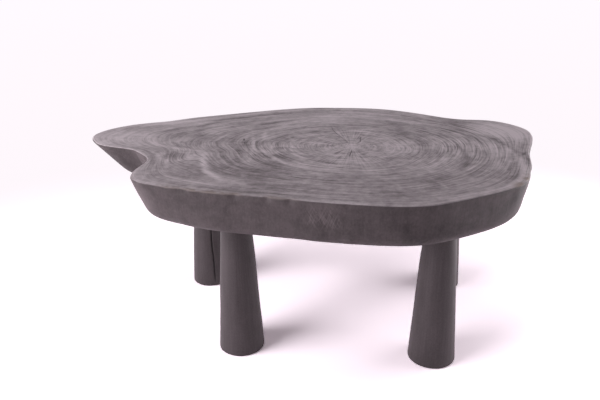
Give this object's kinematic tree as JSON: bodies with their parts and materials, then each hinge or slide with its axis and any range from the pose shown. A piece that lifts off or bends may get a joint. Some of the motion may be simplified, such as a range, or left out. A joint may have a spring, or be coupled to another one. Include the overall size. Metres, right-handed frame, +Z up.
{
  "type": "live edge coffee table",
  "caption": "Low coffee table: a thick cross-cut live edge trunk slab, stained charcoal, on turned legs that widen to the floor and screw off.",
  "frame": {"origin": "on the floor, under the middle of the slab's length and width", "axes": "+X along the slab, to the right in the picture; +Y to the back; +Z up"},
  "size_m": [1.1249, 0.8315, 0.423],
  "materials": {
    "slab_wood": "charcoal stained and brushed end grain, satin",
    "leg_wood": "charcoal stained turned hardwood, satin",
    "bolt_steel": "zinc plated",
    "insert_brass": "plain turned"
  },
  "bodies": {
    "root": {"slab_top": "slab_wood", "leg_front_left": "leg_wood", "leg_front_right": "leg_wood", "leg_rear_left": "leg_wood", "leg_rear_right": "leg_wood", "hanger_bolt_front_left": "bolt_steel", "hanger_bolt_front_right": "bolt_steel", "hanger_bolt_rear_left": "bolt_steel", "hanger_bolt_rear_right": "bolt_steel", "threaded_insert_front_left": "insert_brass", "threaded_insert_front_right": "insert_brass", "threaded_insert_rear_left": "insert_brass", "threaded_insert_rear_right": "insert_brass"}
  },
  "joints": []
}
